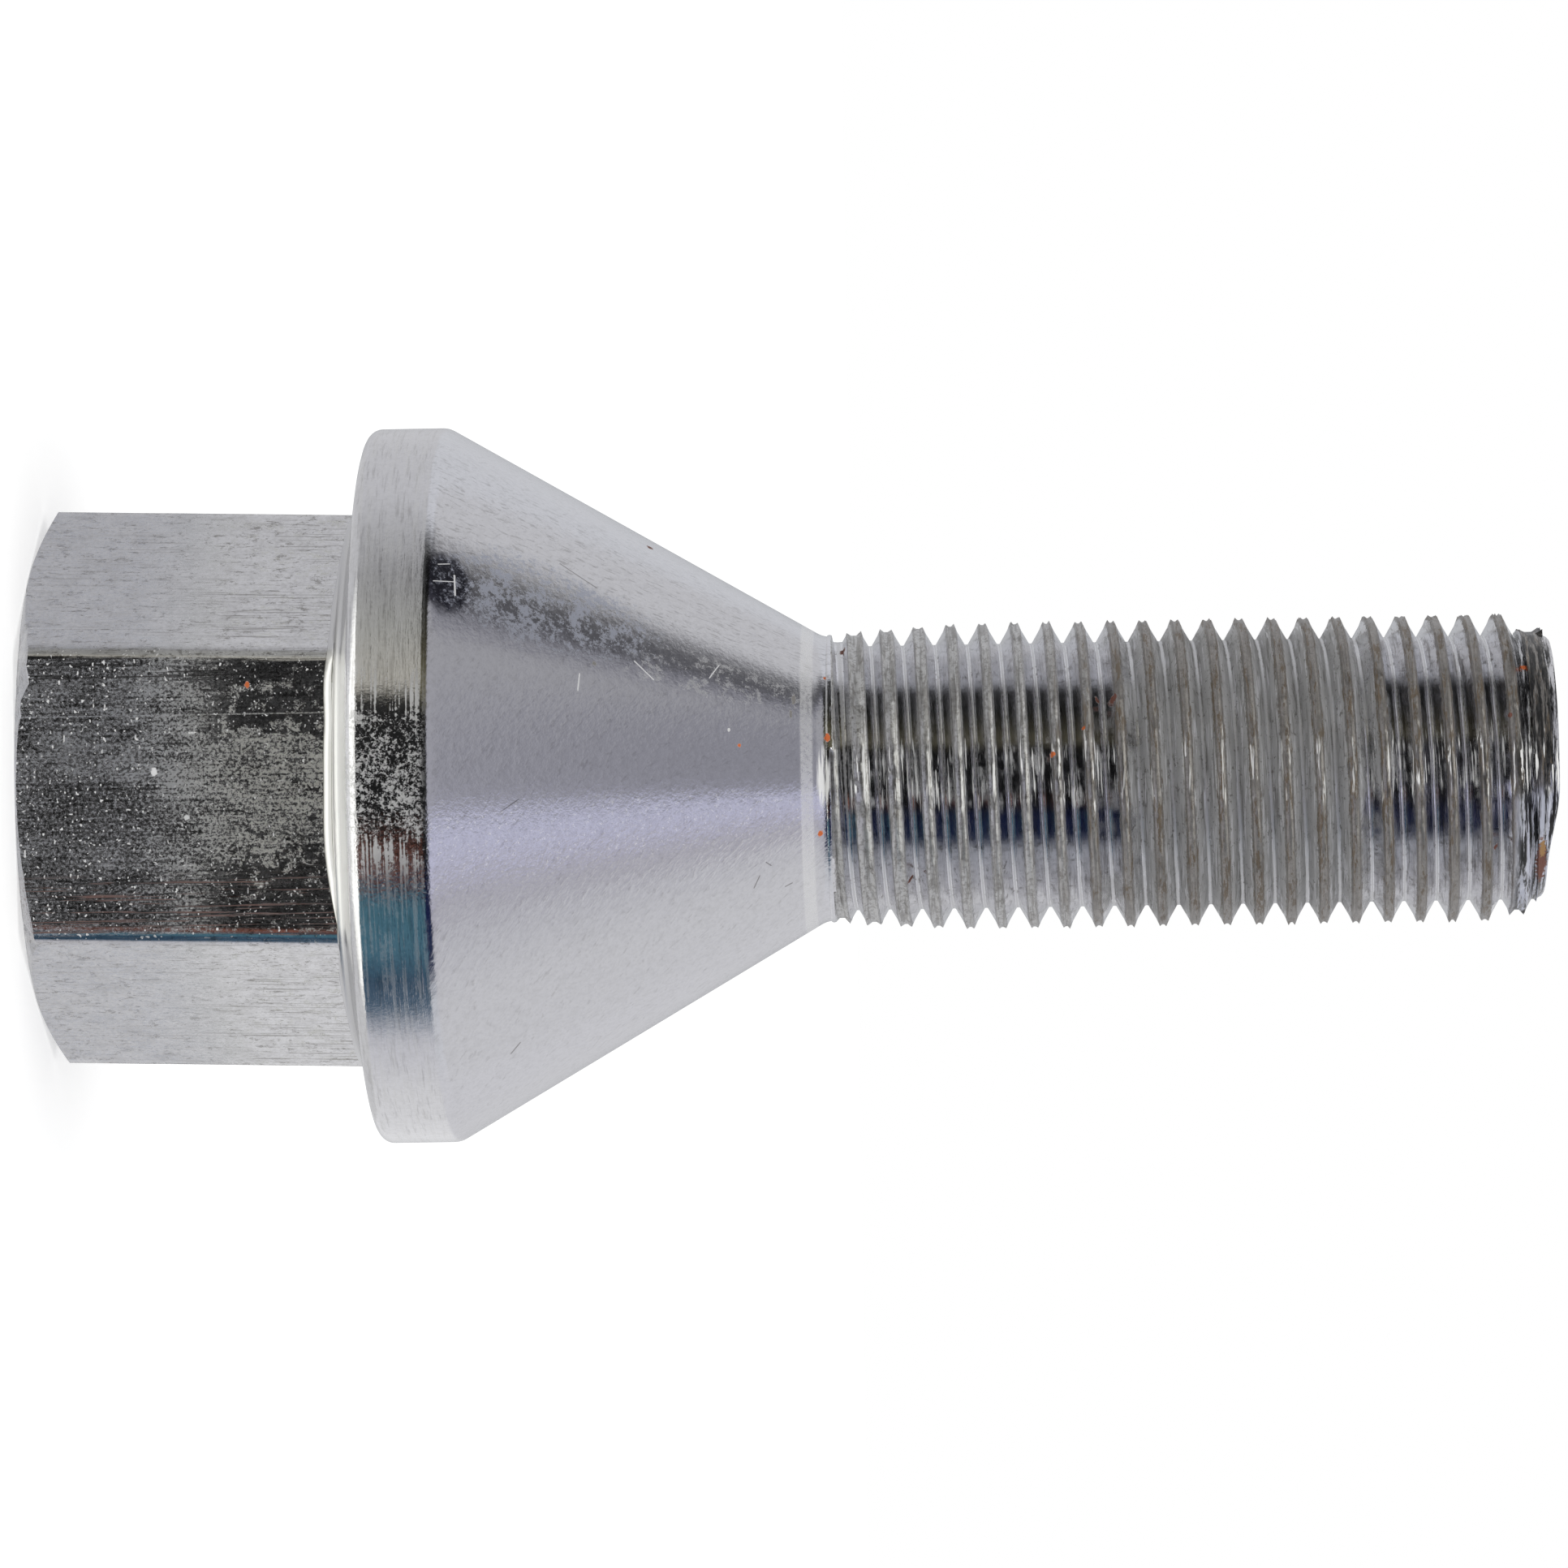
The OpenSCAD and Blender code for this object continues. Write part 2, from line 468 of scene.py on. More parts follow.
def make_tent():
    """A round light tent with the grey, dark and coloured cards that the steel mirrors in the photograph."""
    turns = [2 * math.pi * i / TENT_SIDES for i in range(TENT_SIDES)]
    ring = [(math.sin(turn), math.cos(turn)) for turn in turns]
    points = [(x * TENT_R * MM, y * TENT_R * MM, z * MM) for z in (TENT_FOOT, TENT_TOP) for x, y in ring]
    nexts = [(i + 1) % TENT_SIDES for i in range(TENT_SIDES)]
    faces = [(i, following, following + TENT_SIDES, i + TENT_SIDES) for i, following in enumerate(nexts)]
    mesh = bpy.data.meshes.new("tent")
    mesh.from_pydata(points, [], faces)
    tent = add_object("tent", mesh)

    material, nodes = new_material("tent")
    x, y, z = nodes.split(nodes.add("TexCoord").outputs["Object"])
    angle = nodes.math("DEGREES", nodes.math("ARCTAN2", x, y * -1.0))
    shade = tent_shades(nodes, angle, LOW_SHADES)
    for low, high, shades in TENT_LEVELS:
        shade = nodes.mix(z.step(low * MM, high * MM), shade, tent_shades(nodes, angle, shades))
    glow = nodes.add("Emission", {"Color": shade, "Strength": 1.0})
    nodes.add("OutputMaterial", {"Surface": glow.outputs[0]})
    mesh.materials.append(material)
    for kind in ("camera", "diffuse", "transmission", "shadow", "volume_scatter"):
        setattr(tent, "visible_" + kind, False)


# The bolt's shape

# Faces across one flat of the hex, and half the angle that a turned corner takes up
SIDE_STEPS = 34
STRIP_HALF = SECTOR / 2 - math.degrees(math.acos(HEX_AF / 2 / CORNER_R))


def column_angles():
    """Angles of the points round the bolt: two on each turned corner of the hex, the rest even between."""
    between = np.linspace(STRIP_HALF, SECTOR - STRIP_HALF, SIDE_STEPS + 1)
    one_side = np.concatenate(([-STRIP_HALF / 3, STRIP_HALF / 3], between))
    return np.concatenate([one_side + SECTOR * side for side in range(HEX_SIDES)])


THETA = column_angles()
COLUMNS = len(THETA)


def wobble(radius, z, scale, seed):
    """Smooth noise, from about -1 to 1, at each column. The scale is the size of its waves."""
    angle = np.radians(THETA)
    xs = radius * np.cos(angle) / scale
    ys = radius * np.sin(angle) / scale
    zs = z / scale + seed
    return np.array([noise.noise((a, b, c)) for a, b, c in zip(xs, ys, zs)])


def hex_radius():
    """Distance from the axis to the side of the hex, at each column."""
    from_flat = np.radians((THETA % SECTOR) - SECTOR / 2)
    return np.minimum(HEX_AF / 2 / np.cos(from_flat), CORNER_R)


def between_rows(start, end, steps):
    """Rows from start to end, without start itself. Each is a pair of radius and height."""
    return [
        (start[0] + (end[0] - start[0]) * i / steps, start[1] + (end[1] - start[1]) * i / steps)
        for i in range(1, steps + 1)
    ]


def curve_rows(start, corner, end, steps):
    """Rows along a curve that leaves start towards the corner and comes into end from it."""
    rows = []
    for i in range(1, steps + 1):
        t = i / steps
        weights = ((1 - t) ** 2, 2 * t * (1 - t), t * t)
        rows.append(tuple(sum(w * p[k] for w, p in zip(weights, (start, corner, end))) for k in (0, 1)))
    return rows


def dip(middle, half_width):
    """At each column: 1 at the middle angle, falling smoothly to 0 at half_width from it."""
    away = np.abs((THETA - middle + 180) % 360 - 180)
    return smooth(half_width, 0, away)


# Dents in the end edge of the hex: angle, half width and depth
EDGE_NICKS = [
    (246, 3.5, 0.22),
    (252.5, 1.4, 0.1),
    (233, 2, 0.12),
    (288, 1.2, 0.08),
    (303, 2.5, 0.2),
    (215, 1.5, 0.1),
]
# How the shoulder's depth differs round the hex: angle, half width and depth. It's deepest on the near flat.
SHOULDER_CUTS = [(242, 13, 0.28), (268, 18, -0.1), (208, 30, -0.3), (330, 36, -0.3)]
# The shoulder's fillet, along the flat and then out along the shoulder
SHOULDER_FILLET = (0.22, 0.4)
# A face this narrow beside an edge keeps the shading of the large faces flat
SUPPORT = 0.03
# The hex leans a little against the shank: shift per height, towards the bottom of the photograph, and
# the height where there is none
HEX_LEAN = 0.028
HEX_LEAN_FROM = 6.3
# Radii of the rings on the end face of the head
FACE_RINGS = (1, 3, 5.5, 8, 9.1)
# How far a nick goes into the end face, as a share of its depth
NICK_INWARD = 0.6
# The rows of the shoulder that its painted dark line covers, a painted reflection
PAINTED_LINE_ROWS = (1, 2)
# Steps up the hex's sides and out over the shoulder
HEX_STEPS = 30
SHOULDER_STEPS = 7
# Heights by which the shoulder's start and the end of its fillet stay under the collar
SHOULDER_GAP = 0.05
FILLET_GAP = 0.03
# Heights of the waves and depths of the dents in the hex's sides
WAVES = 0.006
DENTS = 0.012
# Steps along the turned rounds, the flange's face, the rim and the cone
ROUND_STEPS = 6
FILLET_STEPS = 5
FACE_STEPS = 7
RIM_STEPS = 8
CONE_STEPS = 52


def flat_dents(z):
    """Small dents and waves in the hex's sides, as a change of radius."""
    waves = WAVES * wobble(CORNER_R, z, scale=2.5, seed=3)
    dents = DENTS * np.maximum(wobble(CORNER_R, z, scale=1.1, seed=5) - 0.35, 0)
    return waves - dents


def head_rows():
    """The end face, its chamfer, the hex's sides, and the shoulder up to the collar.

    The third value of a row is 1 on the parts of the shoulder painted as a highlight and 0.5 on the painted
    dark line in it.
    """
    flat = np.ones(COLUMNS)
    side = hex_radius()
    nicks = sum(depth * dip(angle, half) for angle, half, depth in EDGE_NICKS)
    chamfer_z = (side - HEAD_FACE_R) * tan_deg(HEAD_CHAMFER) + nicks
    cut = sum(depth * dip(angle, half) for angle, half, depth in SHOULDER_CUTS)
    shoulder_z = HEX_H - (COLLAR_R - np.minimum(side, COLLAR_R)) * tan_deg(COLLAR_SLOPE) - cut
    shoulder_z = np.minimum(shoulder_z, HEX_H - SHOULDER_GAP)
    rows = [(flat * r, flat * 0) for r in FACE_RINGS]
    rows += [(HEAD_FACE_R - NICK_INWARD * nicks, flat * 0)]
    rows += between_rows(rows[-1], (side - SUPPORT, chamfer_z), 3)
    rows += between_rows(rows[-1], (side, chamfer_z + SUPPORT), 1)
    rows += between_rows(rows[-1], (side, chamfer_z + 2 * SUPPORT), 1)

    along, out = SHOULDER_FILLET
    step_out = np.maximum(np.minimum(COLLAR_R - side, out), 0.01)
    fillet_start = (side, shoulder_z)
    fillet_end = (side + step_out, shoulder_z + along + step_out * tan_deg(COLLAR_SLOPE) * 0.5)
    fillet_end = (fillet_end[0], np.minimum(fillet_end[1], HEX_H - FILLET_GAP))
    sides = between_rows(rows[-1], (side, shoulder_z - SUPPORT), HEX_STEPS)
    rows += [(radius + flat_dents(z), z) for radius, z in sides[:-1]] + sides[-1:]
    fillet_corner = (side, fillet_end[1] - FILLET_GAP)
    fillet = [fillet_start] + curve_rows(fillet_start, fillet_corner, fillet_end, FILLET_STEPS)
    rest = between_rows(fillet[-1], (flat * COLLAR_R, flat * HEX_H), SHOULDER_STEPS)
    rows += [row + (1,) for row in fillet]
    rows += [row + (0.5 if i in PAINTED_LINE_ROWS else 1,) for i, row in enumerate(rest)]
    return rows + [(flat * COLLAR_R, flat * HEX_H + 0.02, 1)]


def round_corner(corner, into, out, radius, steps):
    """Points of a round in a corner, given the directions of the edges into and out of it."""
    into, out = np.array(into), np.array(out)
    side = np.sign(into[0] * out[1] - into[1] * out[0])
    turn = math.acos(float(into @ out))
    start = np.array(corner) - into * radius * math.tan(turn / 2)
    centre = start + side * radius * np.array([-into[1], into[0]])
    first = math.atan2(*(start - centre)[::-1])
    angles = first + side * turn * np.arange(steps + 1) / steps
    return [(centre[0] + radius * math.cos(a), centre[1] + radius * math.sin(a)) for a in angles]


def seat_rows():
    """The collar and the flange's face, whose rows are marked 1, then the rim, the cone and the neck."""
    slope, half = math.radians(FLANGE_SLOPE), math.radians(CONE_ANGLE / 2)
    face = (math.cos(slope), math.sin(slope))
    up = (0, 1)
    cone = (-math.sin(half), math.cos(half))
    collar = round_corner((COLLAR_R, FLANGE_Z), up, face, COLLAR_FILLET, FILLET_STEPS)
    rim = round_corner((FLANGE_R, RIM_Z), face, up, RIM_ROUND, ROUND_STEPS)
    edge = round_corner((FLANGE_R, CONE_Z), up, cone, RIM_CONE_ROUND, ROUND_STEPS)
    fillet = round_corner((NECK_R - NECK_DIP, NECK_Z), cone, up, NECK_FILLET, FILLET_STEPS)
    face_points = collar + between_rows(collar[-1], rim[0], FACE_STEPS)
    points = rim[1:]
    points += between_rows(rim[-1], edge[0], RIM_STEPS) + edge[1:]
    points += between_rows(edge[-1], fillet[0], CONE_STEPS) + fillet[1:]
    points += [(NECK_R, THREAD_Z - 0.16), (NECK_R + 0.02, THREAD_Z - 0.08)]
    flat = np.ones(COLUMNS)
    marked = [(flat * radius, flat * z, 1) for radius, z in face_points]
    return marked + [(flat * radius, flat * z) for radius, z in points]


def tip_limit(z):
    """Radius that the tip's chamfer allows."""
    return TIP_R + (TIP_Z - z) * tan_deg(TIP_SLOPE)


def root_at(z):
    """Radius of the root, which runs out at the neck."""
    return (CORE_R - FAINT_RIDGE) + (ROOT_R - CORE_R + FAINT_RIDGE) * ease((z - THREAD_Z) / ROOT_RUNOUT)


def crest_at(z):
    """Radius of the crest, which runs out at the neck and is cut by the tip's chamfer."""
    rolled = CORE_R + (CREST_R - CORE_R) * ease((z - THREAD_Z) / CREST_RUNOUT)
    return np.maximum(np.minimum(rolled, tip_limit(z)), root_at(z) + FAINT_RIDGE)


def crest_edges(z):
    """Radius and half width of the crest whose middle is at height z."""
    crest = crest_at(z)
    return crest, CREST_HALF + (CREST_R - crest) * tan_deg(FLANK_SLOPE)


FLANK_STEPS = 3
THREAD_TURNS = math.ceil((TIP_Z - CORE_Z) / PITCH) + 2
# A lip's height: at least, where it's ragged, and in a burr
LIP = 0.02
LIP_RAGGED = 0.07
LIP_BURR = 0.2
# What the torn tip adds where a lip is ragged, what it takes off, and where it starts, from the tip
TORN_RAGGED = 0.16
TORN_OFF = 0.03
TORN_FROM = (2.2, 1.2)
# The valley between a crest's lips: its least depth, how much it grows where the crest is low, its most as
# a share of the thread's depth, and the width of its floor as a share of the crest's
VALLEY = 0.03
VALLEY_GROWTH = 0.3
VALLEY_MOST = 0.6
VALLEY_FLOOR = 0.35
# How far a lip hangs over the flank beside it
LIP_CURL = 0.015
# How much deeper a root is in its middle than at its edges
ROOT_GROOVE = 0.015


def crest_lip(crest, depth, z, seed):
    """How far the rolled-over lip at one edge of the crest stands up. It fades where the thread runs out."""
    ragged = wobble(crest, z, scale=0.45, seed=seed)
    burr = np.maximum(wobble(crest, z, scale=0.3, seed=seed + 7) - 0.3, 0)
    torn = smooth(TIP_Z - TORN_FROM[0], TIP_Z - TORN_FROM[1], z)
    torn_change = torn * (TORN_RAGGED * ragged - TORN_OFF)
    return smooth(0.1, 0.3, depth) * (LIP + LIP_RAGGED * ragged + LIP_BURR * burr + torn_change)


def thread_turn_rows(z):
    """The rows of one turn, whose crest is at height z: across the crest, down a flank, over the root and up.

    The third value of a row is 1 on the crest, -0.3 at the edges of the root and -1 in its middle.
    """
    crest, half = crest_edges(z)
    next_crest, next_half = crest_edges(z + PITCH)
    root_mid = z + PITCH / 2
    root = root_at(root_mid)
    root_half = ROOT_HALF + (root - ROOT_R) * tan_deg(FLANK_SLOPE)
    depth = crest - root
    valley = np.minimum(VALLEY + VALLEY_GROWTH * (CREST_R - crest), VALLEY_MOST * depth)
    valley = valley * (1 + 0.5 * wobble(crest, z, scale=0.8, seed=9))
    rows = [
        (crest + crest_lip(crest, depth, z, 0), z - half - LIP_CURL, 1),
        (crest - valley, z - half * VALLEY_FLOOR, 1),
        (crest - valley, z + half * VALLEY_FLOOR, 1),
        (crest + crest_lip(crest, depth, z, 40), z + half + LIP_CURL, 1),
    ]
    down = between_rows((crest, z + half), (root, root_mid - root_half), FLANK_STEPS)
    up = between_rows((root, root_mid + root_half), (next_crest, z + PITCH - next_half), FLANK_STEPS)[:-1]
    up = [(root, root_mid + root_half)] + up
    rows += [row + (0,) for row in down[:-1]]
    rows += [down[-1] + (-0.3,), (root - ROOT_GROOVE, root_mid, -1), up[0] + (-0.3,)]
    rows += [row + (0,) for row in up[1:]]
    return rows


def thread_rows():
    """Helical rows, from under the neck to past the tip. Each climbs one pitch as it goes round."""
    climb = PITCH * (THETA - THREAD_TURN) / 360
    rows = []
    for turn in range(THREAD_TURNS):
        rows += thread_turn_rows(CORE_Z + climb + PITCH * turn)
    return rows


# The wear of the tip's end: its least depth, what the slant adds, and where the slant starts and ends,
# from the axis towards the bottom of the photograph
WEAR_LEAST = 0.03
WEAR_SLANT = 0.38
WEAR_FROM = 0.6
WEAR_TO = 3.8


def tip_wear(radius):
    """How far the end of the tip is worn down at this radius, at each column."""
    return WEAR_LEAST + WEAR_SLANT * smooth(WEAR_FROM, WEAR_TO, radius * np.cos(np.radians(THETA)))


def tip_rows():
    """The bare edge of the tip and its end face."""
    flat = np.ones(COLUMNS)
    edge_r = min(float(tip_limit(EDGE_Z)), ROOT_R - CORE_GAP)
    end_r = min(TIP_R, edge_r)
    profile = [
        (edge_r, EDGE_Z),
        (end_r + 0.03, TIP_Z - 0.08),
        (end_r - 0.05, TIP_Z - 0.01),
        (end_r - 0.15, TIP_Z),
        (4.4, TIP_Z),
        (3, TIP_Z),
        (1.2, TIP_Z),
    ]
    return [(flat * radius, z - tip_wear(radius)) for radius, z in profile]


class Skin:
    """Collects rows of points round the bolt and the faces between them."""

    def __init__(self):
        self.points = []
        self.marks = []
        self.faces = []
        self.zones = []

    def add_row(self, radius, z, mark=0):
        """Adds one point at each column and returns their numbers. A row of the head leans with the hex."""
        start = len(self.points)
        angle = np.radians(THETA)
        lean = HEX_LEAN * (z - HEX_LEAN_FROM) * smooth(FLANGE_R - 0.5, CORNER_R, radius) * (z < CONE_Z - 1)
        self.points += list(zip(radius * np.cos(angle) + lean, radius * np.sin(angle), z))
        self.marks += [mark] * COLUMNS
        return np.arange(start, start + COLUMNS)

    def add_face(self, corners, zone):
        """Adds a face of one zone. A corner that repeats is left out, and so is a face with no area."""
        kept = [c for i, c in enumerate(corners) if c != corners[i - 1]]
        if len(kept) > 2:
            self.faces.append([int(c) for c in kept])
            self.zones.append(zone)

    def join_rows(self, lower, upper, zone, shift_lower=None, shift_upper=None):
        """Faces between two rows. The last column joins on to the shifted rows, one turn further up."""
        next_lower = np.append(lower[1:], (lower if shift_lower is None else shift_lower)[0])
        next_upper = np.append(upper[1:], (upper if shift_upper is None else shift_upper)[0])
        for corners in zip(lower, next_lower, next_upper, upper):
            self.add_face(corners, zone)

    def add_pole(self, row, z, zone, upward):
        """Closes a row with faces that meet in one point on the axis."""
        self.points.append((0, 0, z))
        self.marks.append(0)
        pole = len(self.points) - 1
        for a, b in zip(row, np.append(row[1:], row[0])):
            self.add_face([a, b, pole] if upward else [b, a, pole], zone)


# The number of each zone's material
HEAD, SEAT, THREAD = range(3)


def helical_rows(skin, neck_row, tip_row, edge_z):
    """Adds the thread's points. A point past the neck or the tip becomes that ring's own point."""
    rows = []
    for radius, z, mark in thread_rows():
        row = skin.add_row(radius, z, mark)
        row = np.where(z <= THREAD_Z, neck_row, row)
        row = np.where(z >= edge_z, tip_row, row)
        rows.append(row)
    return rows


def bolt_mesh():
    """The whole bolt as one closed skin, from the pole of the end face up to the pole of the tip."""
    skin = Skin()
    head = [skin.add_row(*row) for row in head_rows()]
    seat = [skin.add_row(*row) for row in seat_rows()]
    neck = skin.add_row(np.full(COLUMNS, NECK_R), np.full(COLUMNS, THREAD_Z))
    tip_profile = tip_rows()
    tip = [skin.add_row(*row) for row in tip_profile]
    edge_z = tip_profile[0][1]
    thread = helical_rows(skin, neck, tip[0], edge_z)

    skin.add_pole(head[0], 0, HEAD, upward=False)
    for rows, zone in ((head, HEAD), ([head[-1]] + seat + [neck], SEAT), (tip, THREAD)):
        for lower, upper in zip(rows, rows[1:]):
            skin.join_rows(lower, upper, zone)
    per_turn = len(thread) // THREAD_TURNS
    for i in range(len(thread) - 1):
        shift_lower = thread[min(i + per_turn, len(thread) - 1)]
        shift_upper = thread[min(i + 1 + per_turn, len(thread) - 1)]
        skin.join_rows(thread[i], thread[i + 1], THREAD, shift_lower, shift_upper)
    skin.add_pole(tip[-1], TIP_Z - tip_wear(0)[0], THREAD, upward=True)
    return skin


def used_points(faces):
    """The points that some face uses, and the faces with their points numbered anew."""
    used = sorted({c for face in faces for c in face})
    place = {old: new for new, old in enumerate(used)}
    return used, [[place[c] for c in face] for face in faces]


# Edges sharper than this angle aren't shaded smooth
SHARP_ANGLE = 35


def make_bolt(materials):
    """The piece that is seen in place of the CAD model's node."""
    skin = bolt_mesh()
    used, faces = used_points(skin.faces)
    mesh = bpy.data.meshes.new("plated_bolt")
    mesh.from_pydata([tuple(c * MM for c in skin.points[i]) for i in used], [], faces)
    mark = mesh.attributes.new("mark", "FLOAT", "POINT")
    mark.data.foreach_set("value", [float(skin.marks[i]) for i in used])
    for material in materials:
        mesh.materials.append(material)
    mesh.polygons.foreach_set("material_index", skin.zones)
    mesh.polygons.foreach_set("use_smooth", [True] * len(faces))
    mesh.set_sharp_from_angle(angle=math.radians(SHARP_ANGLE))
    mesh.update()
    bolt = add_object("plated_bolt", mesh)
    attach(bolt, "root")
    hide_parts("wheel_bolt")
    return bolt


# The plated steel

ZINC = (0.74, 0.74, 0.76, 1)
FROST = (0.66, 0.66, 0.66, 1)
FROST_BLUE = (0.47, 0.49, 0.56, 1)
FROST_OLIVE = (0.60, 0.60, 0.56, 1)
# Grime, also used as painted shade where the hex darkens towards its end
GRIME_AND_SHADE = (0.20, 0.19, 0.18, 1)
CREST_DIRT = (0.30, 0.285, 0.27, 1)
CREST_BROWN = (0.13, 0.10, 0.07, 1)
MATTE_FILM = (0.53, 0.53, 0.53, 1)
# Dark grey blue, for the blotch where the cone's dark streak starts
DARK_GREY_BLUE = (0.10, 0.10, 0.12, 1)
RUST_ORANGE = (0.62, 0.14, 0.03, 1)
RUST_BROWN = (0.16, 0.06, 0.04, 1)
# White for spots and bright scratches, and for painted sparkle highlights on the hex
CHALK_AND_SPARKLE = (0.80, 0.80, 0.80, 1)
# A painted highlight: on the shoulder, the flange's face, the cone's end, the neck, the lit band and the
# thread
BRIGHT = (0.92, 0.92, 0.90, 1)
PALE_GREY = (0.64, 0.64, 0.65, 1)
# A painted dark reflection, for the line in the shoulder
PAINTED_DARK_LINE = (0.16, 0.16, 0.11, 1)
CREST_GREY = (0.52, 0.52, 0.52, 1)
OCHRE = (0.34, 0.19, 0.07, 1)
# A painted dark reflection and a painted bluish reflection, for the torn tip
PAINTED_DARK_REFLECTION = (0.03, 0.03, 0.03, 1)
PAINTED_BLUE_REFLECTION = (0.62, 0.64, 0.72, 1)


# Spots as height, angle, half their length along the bolt, half their width in degrees, and colour.
# Angles on the bolt are 0 at the camera's side and grow towards the bottom of the photograph.
HEAD_SPOTS = [
    (8.89, -23.6, 0.11, 0.7, RUST_ORANGE),
    (5.32, -5.5, 0.13, 1.1, CHALK_AND_SPARKLE),
    (6.52, 5, 0.11, 0.7, FROST),
]
SEAT_SPOTS = [
    (22.02, -26.8, 0.08, 0.5, GRIME_AND_SHADE),
    (23.85, -76.3, 0.12, 1.2, RUST_BROWN),
    (27.37, -11.7, 0.07, 0.6, RUST_ORANGE),
    (26.98, -16, 0.07, 0.6, FROST),
    (29.4, -31, 0.08, 2.2, GRIME_AND_SHADE),
    (29.3, -25, 0.06, 1.6, GRIME_AND_SHADE),
    (30.66, -17.6, 0.15, 1.6, RUST_ORANGE),
    (30.57, -45.3, 0.06, 0.8, RUST_ORANGE),
    (30.34, 20.6, 0.1, 1.3, RUST_ORANGE),
]
THREAD_SPOTS = [
    (31.23, -68.4, 0.13, 2.5, RUST_BROWN),
    (41.02, -33, 0.1, 1.5, RUST_BROWN),
    (41.61, -31.3, 0.14, 1.8, RUST_BROWN),
    (39.27, -9, 0.11, 1.2, RUST_ORANGE),
    (33.74, 44.5, 0.12, 1.2, RUST_BROWN),
    (40.46, -19, 0.07, 0.8, RUST_ORANGE),
    (57.4, -49.2, 0.12, 1.4, RUST_ORANGE),
    (56.72, -21.5, 0.1, 1.2, RUST_BROWN),
    (56.15, 31.8, 0.1, 1.2, RUST_BROWN),
    (57.95, 44, 0.22, 14, RUST_BROWN),
    (57.98, 36, 0.12, 5, OCHRE),
]
# Scratches on the cone, as height and angle of both ends, and half their width. The first ones are bright.
BRIGHT_SCRATCHES = [
    ((16.92, -37.2), (16.97, -33.4), 0.05),
    ((16.18, -34.9), (16.9, -35.9), 0.03),
    ((16.33, -38.4), (16.73, -39.2), 0.03),
    ((21.5, -23.8), (21.44, -20.2), 0.04),
    ((23.5, -29.8), (24.2, -26.2), 0.04),
    ((26.26, -30.6), (26.61, -35.7), 0.03),
]
DARK_SCRATCHES = [
    ((27.78, 34.2), (28.01, 30.4), 0.035),
    ((28.27, 26.2), (28.45, 27.9), 0.03),
    ((28.96, 38.4), (29.21, 38), 0.04),
    ((18.62, 3.4), (19.27, 1.4), 0.03),
    ((20.68, -49.3), (22.04, -46.5), 0.04),
    ((18.48, 53.7), (18.84, 51.8), 0.05),
]


def millimetres(nodes):
    """The point on the bolt, in millimetres."""
    node = nodes.add("VectorMath", operation="SCALE")
    nodes.put(nodes.add("TexCoord").outputs["Object"], node.inputs[0])
    node.inputs["Scale"].default_value = 1 / MM
    return node.outputs[0]


class Round:
    """The point's radius and its angle round the bolt in degrees, where 0 is the camera's side."""

    def __init__(self, nodes, point):
        x, y, self.z = nodes.split(point)
        squares = x * x + y * y
        self.radius = nodes.math("SQRT", squares)
        self.angle = nodes.math("DEGREES", nodes.math("ARCTAN2", x, y * -1.0))

    def lines(self, nodes, squeeze):
        """A point on which noise runs in lines round the bolt."""
        return nodes.join(self.radius, self.z, self.angle * squeeze)

    def slanted(self, nodes, arc, squeeze):
        """A point on which noise runs in short strokes that slant against the bolt's axis."""
        across = self.angle * arc
        along = (self.z - across) * squeeze
        return nodes.join(along, self.z + across, self.radius)


def bump(nodes, height, distance, normal=None):
    """A normal for the height, over another normal. The distance is how high 1 stands."""
    inputs = {"Height": height, "Distance": distance * MM, "Strength": 1.0}
    if normal is not None:
        inputs["Normal"] = normal
    return nodes.add("Bump", inputs).outputs[0]


def patch(nodes, around, ragged, z, angle, length, width):
    """A mask of one spot with a ragged edge: its middle, half its length and half its width in degrees."""
    along = (around.z - z) / length
    across = (around.angle - angle) / width
    square = along * along + across * across
    away = nodes.math("SQRT", square) + ragged
    return away.step(1.1, 0.7)


def scratch(nodes, around, start, end, half_width):
    """A mask of a straight scratch between two places, each a height and an angle."""
    arc = math.radians(1) * (FLANGE_R - (start[0] - CONE_Z) * tan_deg(CONE_ANGLE / 2))
    first, last = (Vector((z, angle * arc, 0)) for z, angle in (start, end))
    along = last - first
    here = nodes.join(around.z, around.angle * arc, 0.0)
    from_first = nodes.vector("SUBTRACT", here, tuple(first))
    reached = nodes.vector("DOT_PRODUCT", from_first, tuple(along))
    share = nodes.math("DIVIDE", reached, along.length_squared, clamp=True)
    nearest = nodes.vector("MULTIPLY", tuple(along), share)
    away = nodes.vector("DISTANCE", from_first, nearest)
    return away.step(half_width, half_width * 0.3)


def any_of(masks):
    """The strongest of the masks."""
    total = masks[0]
    for mask in masks[1:]:
        total |= mask
    return total


def add_spots(nodes, point, around, colour, spots):
    """Paints spots over the colour. Returns it with a mask of all the spots."""
    ragged = nodes.noise(point, 9.0, 2.0) * 1.4 - 0.7
    masks = []
    for z, angle, length, width, paint in spots:
        masks.append(patch(nodes, around, ragged, z, angle, length, width))
        colour = nodes.mix(masks[-1], colour, paint)
    return colour, any_of(masks)


def add_grime_and_shade(nodes, colour, mask, amount):
    """The colour with that amount of grime where the mask is; towards the hex's end it is painted shade."""
    return nodes.mix(mask * amount, colour, GRIME_AND_SHADE)


def start_metal(name):
    """A new material, with what its patterns go by: the nodes, the point, its place and its mark."""
    material, nodes = new_material(name)
    point = millimetres(nodes)
    mark = Value(nodes, nodes.add("Attribute", attribute_name="mark").outputs["Fac"])
    return material, nodes, point, Round(nodes, point), mark


